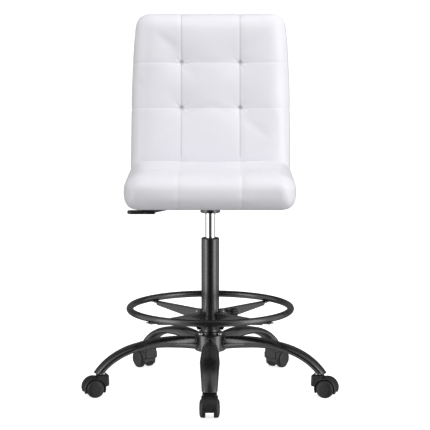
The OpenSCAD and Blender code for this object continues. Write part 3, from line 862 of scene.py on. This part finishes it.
def arm_mesh():
    """A pressed arm: a smooth loft, cut level at its tip and open below, 2.5 mm thick."""
    steps = 54
    mesh = skin("arm", [arm_loop(i / steps) for i in range(steps + 1)], closed_ends=False)
    made = bmesh.new()
    made.from_mesh(mesh)
    bmesh.ops.bisect_plane(made, geom=made.verts[:] + made.edges[:] + made.faces[:],
                           plane_co=(0, 0, ARM_TIP_Z), plane_no=(0, 0, 1), clear_inner=True)
    bmesh.ops.recalc_face_normals(made, faces=made.faces)
    made.to_mesh(mesh)
    made.free()
    shell = bpy.data.objects.new("arm", mesh)
    bpy.context.scene.collection.objects.link(shell)
    wall = shell.modifiers.new("wall", "SOLIDIFY")
    wall.thickness = 0.0022
    wall.offset = -1
    apply_modifiers(shell)
    mesh = shell.data
    bpy.data.objects.remove(shell)
    return mesh


def weld_bead():
    """The weld round an arm's root, laid where the arm meets the hub."""
    t = 0.028
    loop = []
    for k, p in enumerate(arm_loop(t, 90, 0)):
        grown = Vector((0, p.y * 1.05, p.z + 0.0006 * math.sin(k * 1.9)))
        loop.append(Vector((math.sqrt(max(HUB_R ** 2 - grown.y ** 2, 0)) + 0.0006, grown.y, grown.z)))
    return tube_along("bead", [p for p in loop if HUB_LOW.z + 0.002 < p.z < HUB_SHELF_Z - 0.002], 0.0021, 8, closed=False)


def make_base():
    arm, bead = arm_mesh(), weld_bead()
    for i in CASTERS:
        node = f"base_arm_{i}"
        made = piece(f"arm_{i}", moved(arm.copy(), around(i)), COAT, "base", 38)
        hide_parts(node)
    beads = joined("arm_welds", [moved(bead.copy(), around(i)) for i in CASTERS])
    piece("arm_welds", beads, COAT, "base")
    bolts = [moved(hex_bolt(0.010, 0.0045, 0.003, 0.0040), Matrix.Rotation(math.radians(a), 4, "Z")
                   @ Matrix.Translation((0.0375, 0, HUB_SHELF_Z))) for a in (45, 135, 225, 315)]
    made = piece("hub_bolt_set", joined("hub_bolt_set", bolts), ZINC, "base", 35)
    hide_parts("hub_bolts")


HUB_SHELF_Z = 0.158


def hex_bolt(flats, head, shank_r, shank):
    """A hexagon bolt standing head up on z = 0: washer face, chamfered head, shank below."""
    made = bmesh.new()
    levels = [(1.0, 0.0004), (1.0, head * 0.80), (0.93, head * 0.94), (0.80, head)]
    corner = flats / 2 / math.cos(math.pi / 6)
    steps = 36
    rows = []
    for share, z in levels:
        row = []
        for k in range(steps):
            t = 2 * math.pi * k / steps
            wedge = (t + math.pi / 6) % (math.pi / 3) - math.pi / 6
            reach = min(flats / 2 / math.cos(wedge), corner * (1 if share == 1.0 else share + 0.02))
            reach = reach if share == 1.0 else min(reach, flats / 2 * (share + 0.10))
            row.append(made.verts.new((reach * math.cos(t), reach * math.sin(t), z)))
        rows.append(row)
    for a, b in zip(rows, rows[1:]):
        for k in range(steps):
            made.faces.new((a[k], a[(k + 1) % steps], b[(k + 1) % steps], b[k]))
    made.faces.new(rows[-1])
    made.faces.new(rows[0][::-1])
    mesh = bpy.data.meshes.new("bolt")
    made.to_mesh(mesh)
    made.free()
    collar = lathe("collar", [(0, 0), (flats * 0.52, 0), (flats * 0.52, 0.0004), (0, 0.0004)], 32)
    stem = lathe("stem", [(0, -shank), (shank_r - 0.0003, -shank), (shank_r, -shank + 0.0003),
                          (shank_r, 0.0002), (0, 0.0002)], 24)
    return joined("bolt", [mesh, collar, stem])


# ---- casters ----


def solid_object(mesh):
    made = bpy.data.objects.new(mesh.name, mesh)
    bpy.context.scene.collection.objects.link(made)
    return made


def cut(made, cutter_mesh):
    """Takes a solid away from an object."""
    tool = solid_object(cutter_mesh)
    cutting = made.modifiers.new("cut", "BOOLEAN")
    cutting.operation = "DIFFERENCE"
    cutting.solver = "EXACT"
    cutting.object = tool
    apply_modifiers(made)
    bpy.data.objects.remove(tool)


def block(low, high, radius, cells=8):
    return rounded_block("block", low, high, lambda p: radius + 0 * p[:, 0], cells)


def along_axle(mesh, x=AXLE.x, z=AXLE.z):
    """Turns a shape made about Z so that it lies along a caster's axle."""
    return moved(mesh, Matrix.Translation((x, 0, z)) @ Matrix.Rotation(math.pi / 2, 4, "X"))


def drum(radius, half, edge=0.0003, steps=96):
    return lathe("drum", [(0, -half), (radius - edge, -half), (radius, -half + edge),
                          (radius, half - edge), (radius - edge, half), (0, half)], steps)


def hood_mesh():
    """The hood of a caster: drum, stem block and web run together, then hollowed for the two wheels."""
    body = along_axle(drum(0.031, 0.0225, 0.0028))
    front = block((-0.016, -0.0225, 0.030), (0.028, 0.0225, 0.0525), 0.0045)
    cap = block((-0.016, -0.0195, 0.040), (0.014, 0.0195, 0.062), 0.0035)
    disc = moved(lathe("disc", [(0, 0.0555), (0.0120, 0.0555), (0.0120, 0.0622), (0, 0.0622)], 40),
                 Matrix.Translation((-0.001, 0, 0)))
    made = remeshed(joined("hood", [body, front, cap, disc]), 0.0011, "hood")
    soft = made.modifiers.new("soft", "SMOOTH")
    soft.factor, soft.iterations = 0.5, 5
    apply_modifiers(made)
    cut(made, block((-0.06, -0.06, -0.02), (0.09, 0.06, 0.013), 0.0001, 1))
    cut(made, block((-0.06, -0.011, -0.02), (0.09, 0.011, 0.020), 0.0001, 1))
    for side in (-1, 1):
        pocket = along_axle(drum(0.0275, 0.025))
        cut(made, moved(pocket, Matrix.Translation((0, side * 0.0355, 0))))
    cut(made, moved(lathe("bore", [(0, 0.036), (0.0056, 0.036), (0.0056, 0.07), (0, 0.07)], 32),
                    Matrix.Identity(4)))
    mesh = made.data
    bpy.data.objects.remove(made)
    return mesh


def wheel_mesh():
    """A wheel on +Z: plain inner side, tread with a mould line, domed face with a shallow ring and hub cap."""
    profile = [(0.0031, 0.0110), (0.0070, 0.0110), (0.0078, 0.0122), (0.0195, 0.0125), (0.0205, 0.0110),
               (0.0240, 0.0110), (0.0248, 0.0114), (0.0250, 0.0122), (0.0250, 0.0152), (0.02495, 0.0155),
               (0.0250, 0.0158), (0.0250, 0.0198), (0.02475, 0.0212), (0.0242, 0.0226), (0.0232, 0.0240),
               (0.0218, 0.0251), (0.0201, 0.0259), (0.0196, 0.0258), (0.0190, 0.0262), (0.0160, 0.0267),
               (0.0120, 0.0271), (0.0069, 0.02738), (0.0066, 0.02730), (0.0063, 0.02742), (0.0030, 0.0275),
               (0, 0.0275)]
    outer = lathe("wheel", profile, 96)
    bore = lathe("bore", [(0.0031, 0.0110), (0.0031, 0.0250), (0, 0.0250)], 48)
    return joined("wheel", [outer, bore])


def make_casters():
    hood, wheel = hood_mesh(), wheel_mesh()
    for i in CASTERS:
        place = around(i) @ Matrix.Translation((STEM_REACH, 0, 0))
        body = f"caster_{i}"
        made = piece(f"hood_{i}", moved(hood.copy(), place), HOOD_NYLON, body, 42)
        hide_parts(f"{body}_hood")
        for side, turn in (("left", math.pi / 2), ("right", -math.pi / 2)):
            put = place @ Matrix.Translation(AXLE) @ Matrix.Rotation(turn, 4, "X")
            made = piece(f"wheel_{i}_{side}", moved(wheel.copy(), put), WHEEL_NYLON,
                         f"{body}_wheel_{side}", 40)
            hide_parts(f"{body}_wheel_{side}")


# ---- foot ring fittings and lever ----

KNOB_TURN = math.radians(20)
KNOB_Z = 0.212


def make_ring_fittings():
    """The lobed clamp knob, the ear bolts and the spoke tips' screws."""
    lobes, steps = 6, 96
    levels = [(0.0465, 0.0062), (0.0467, 0.0070), (0.0612, 0.0070), (0.0620, 0.0078), (0.0622, 0.0108),
              (0.0632, 0.0119), (0.0665, 0.0121), (0.0760, 0.0121), (0.0786, 0.0116), (0.0797, 0.0104),
              (0.0800, 0.0080), (0.0800, 0.0040), (0.0796, 0.0036), (0.0796, 0.0004)]
    loops = []
    for z, r in levels:
        depth = 0.0017 * np.clip((r - 0.0072) / 0.004, 0, 1)
        loops.append([((r - depth * (0.5 + 0.5 * math.cos(lobes * t)) ** 2) * math.cos(t),
                       (r - depth * (0.5 + 0.5 * math.cos(lobes * t)) ** 2) * math.sin(t), z)
                      for t in (2 * math.pi * k / steps for k in range(steps))])
    to_knob = (Matrix.Rotation(KNOB_TURN, 4, "Z") @ Matrix.Translation((0, 0, KNOB_Z))
               @ Matrix.Rotation(math.pi / 2, 4, "Y"))
    knob = piece("clamp_knob", moved(skin("clamp_knob", loops), to_knob), GRIP_NYLON, "ring_knob", 40)
    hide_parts("ring_knob")
    low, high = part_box("ring_fasteners")
    parts = []
    ring_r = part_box("foot_ring_tube")[1].x - 0.0095
    head_z = low.z
    for a in (45, 135, 225, 315):
        head = lathe("screw", [(0, 0), (0.0022, 0), (0.0022, 0.0011), (0.0031, 0.0012), (0.0036, 0.0002),
                               (0.0046, 0.0012), (0.0050, 0.0034), (0.0050, 0.0040), (0.0025, 0.0040),
                               (0.0025, 0.0110), (0, 0.0110)], 40)
        parts.append(moved(head, Matrix.Rotation(math.radians(a), 4, "Z")
                           @ Matrix.Translation((ring_r, 0, head_z))))
    for side in (-1, 1):
        turn = Matrix.Translation((side * 0.034, -0.005, 0.2215)) @ Matrix.Rotation(math.pi / 2, 4, "X")
        parts.append(moved(hex_bolt(0.011, 0.004, 0.003, 0.009), turn))
    made = piece("ring_bolt_set", joined("ring_bolt_set", parts), ZINC, "foot_ring", 35)
    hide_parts("ring_fasteners")
    del high


def make_lever_grip():
    """The lever's hand grip: a soft-edged paddle with a stepped neck and finger ridges under it."""
    y = -0.026
    parts = [block((-0.2300, y - 0.0140, 0.4985), (-0.1790, y + 0.0140, 0.5080), 0.0038, 14),
             block((-0.1860, y - 0.0095, 0.4980), (-0.1520, y + 0.0095, 0.5130), 0.0026, 10)]
    made = remeshed(joined("grip", parts), 0.0009, "grip")
    mesh = made.data
    p = coords(mesh)
    # round the paddle's free end in plan and thin it a little towards the tip
    end = np.clip((-0.2160 - p[:, 0]) / 0.0140, 0, 1)
    p[:, 1] = y + (p[:, 1] - y) * np.sqrt(np.maximum(1 - 0.94 * end ** 2, 0))
    ridge = 0.0005 * np.sin((p[:, 0] + 0.23) * 2 * math.pi / 0.005) * (p[:, 2] < 0.5002)
    p[:, 2] += ridge * ((p[:, 0] > -0.218) & (p[:, 0] < -0.190))
    set_coords(mesh, p)
    soft = made.modifiers.new("soft", "SMOOTH")
    soft.factor, soft.iterations = 0.5, 6
    apply_modifiers(made)
    made.name = "lever_paddle"
    made.data.materials.append(GRIP_NYLON)
    shade(made)
    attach(made, "lever")
    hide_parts("lever_grip")


def make_dust_cover():
    """The cloth stapled under the seat: a thin sheet with slack ripples and a folded hem."""
    low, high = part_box("dust_cover")
    nx, ny = 96, 90
    hem = 0.010
    points, faces = [], []
    for j in range(ny + 1):
        for i in range(nx + 1):
            x = low.x + (high.x - low.x) * i / nx
            y = low.y + (high.y - low.y) * j / ny
            edge = min(x - low.x, high.x - x, y - low.y, high.y - y)
            slack = min(1.0, edge / 0.03)
            sag = 0.0012 * slack * (0.5 + 0.5 * math.sin(x * 41 + 3 * math.sin(y * 17)))
            fold = 0.0004 if edge < hem else 0.0
            points.append((x, y, high.z - 0.0002 - sag - fold))
    for j in range(ny):
        for i in range(nx):
            a = j * (nx + 1) + i
            faces.append((a, a + nx + 1, a + nx + 2, a + 1))
    made = piece("dust_cover_cloth", mesh_of("dust_cover_cloth", points, faces), CLOTH, "seat")
    thick = made.modifiers.new("thick", "SOLIDIFY")
    thick.thickness = 0.0004
    thick.offset = 1
    apply_modifiers(made)
    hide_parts("dust_cover")


dress_frame()
make_seat()
make_back()
make_tuft_buttons()
make_rear_cover()
make_base()
make_casters()
make_ring_fittings()
make_lever_grip()
make_dust_cover()


# ---- studio ----


def area_light(name, place, target, size, watts, color=(1, 1, 1)):
    lamp = bpy.data.lights.new(name, "AREA")
    lamp.shape = "RECTANGLE"
    lamp.size, lamp.size_y = size
    lamp.energy = watts
    lamp.color = color
    made = bpy.data.objects.new(name, lamp)
    made.location = place
    made.rotation_euler = (Vector(target) - Vector(place)).to_track_quat("-Z", "Y").to_euler()
    made.visible_camera = False
    bpy.context.scene.collection.objects.link(made)
    return made


def make_world():
    """White all round, greyer low in front; dark just behind the camera and in a strip behind the chair."""
    world = bpy.data.worlds.new("studio")
    bpy.context.scene.world = world
    world.use_nodes = True
    tree = world.node_tree

    def node(kind, inputs, **settings):
        made = tree.nodes.new(kind)
        for key, value in settings.items():
            setattr(made, key, value)
        for key, value in inputs.items():
            if isinstance(value, bpy.types.NodeSocket):
                tree.links.new(value, made.inputs[key])
            else:
                made.inputs[key].default_value = value
        return made.outputs[0]

    def sums(operation, a, b=0.0):
        return node("ShaderNodeMath", {0: a, 1: b}, operation=operation)

    def ramp(value, low, high, start, end):
        return node("ShaderNodeMapRange", {
            "Value": value, "From Min": low, "From Max": high, "To Min": start, "To Max": end},
            interpolation_type="SMOOTHSTEP")

    split = tree.nodes.new("ShaderNodeSeparateXYZ")
    tree.links.new(tree.nodes.new("ShaderNodeTexCoord").outputs["Generated"], split.inputs[0])
    x, y, z = split.outputs
    flat = sums("SQRT", sums("ADD", sums("MULTIPLY", x, x), sums("MULTIPLY", y, y)))
    toward = sums("DIVIDE", sums("MULTIPLY", y, -1.0), flat)
    low = ramp(toward, -0.3, 0.3, 1.0, LOW_LIGHT)
    climb = ramp(z, -0.25, 0.35, 0.0, 1.0)
    sky = sums("ADD", low, sums("MULTIPLY", climb, sums("SUBTRACT", HIGH_LIGHT, low)))
    lens_side = ramp(toward, 0.80, 0.95, 1.0, 0.06)
    far_side = ramp(toward, -0.58, -0.38, 0.16, 1.0)
    level = node("ShaderNodeMath", {0: sky, 1: sums("MULTIPLY", lens_side, far_side)}, operation="MULTIPLY")
    tree.links.new(level, tree.nodes["Background"].inputs["Strength"])
    tree.nodes["Background"].inputs["Color"].default_value = (1, 1, 1, 1)


LOW_LIGHT = 0.84
HIGH_LIGHT = 0.84


def make_studio():
    scene = bpy.context.scene
    scene.view_settings.view_transform = "Standard"
    make_world()
    floor_mesh = mesh_of("studio_floor", [(-60, -60, 0), (60, -60, 0), (60, 300, 0), (-60, 300, 0)],
                         [(0, 1, 2, 3)])
    floor = bpy.data.objects.new("studio_floor", floor_mesh)
    floor_mesh.materials.append(studio_floor("studio_floor"))
    scene.collection.objects.link(floor)
    floor.visible_diffuse = False
    floor.visible_glossy = False
    floor.visible_shadow = False
    # strips that only show in the shiny parts, then the soft lights that only light the matt ones
    for side, watts in ((-1, 74), (1, 80)):
        strip = area_light("strip", (side * 3.2, -1.85, 1.0), (0, 0, 1.0), (2.0, 5.0), watts)
        strip.visible_diffuse = False
    area_light("key_right", (3.4, -2.0, 1.8), (0, 0, 0.7), (3.0, 3.0), 50).visible_glossy = False
    area_light("key_high", (0.8, -3.2, 4.2), (0, 0, 0.8), (2.6, 2.6), 46).visible_glossy = False
    area_light("ceiling", (0.4, -0.6, 3.4), (0, 0, 0.7), (2.4, 2.4), 37).visible_glossy = False


def make_camera():
    lens = bpy.data.cameras.new("camera")
    lens.sensor_width = 36
    lens.lens = 146.33
    lens.shift_x = 0.011
    lens.clip_start, lens.clip_end = 0.1, 1000
    made = bpy.data.objects.new("camera", lens)
    swing = math.radians(0.3)
    made.location = (4.821 * math.sin(swing), -4.821 * math.cos(swing), 1.1457)
    made.rotation_euler = (math.radians(90 - 7.724), 0, swing)
    bpy.context.scene.collection.objects.link(made)
    bpy.context.scene.camera = made


make_studio()
make_camera()
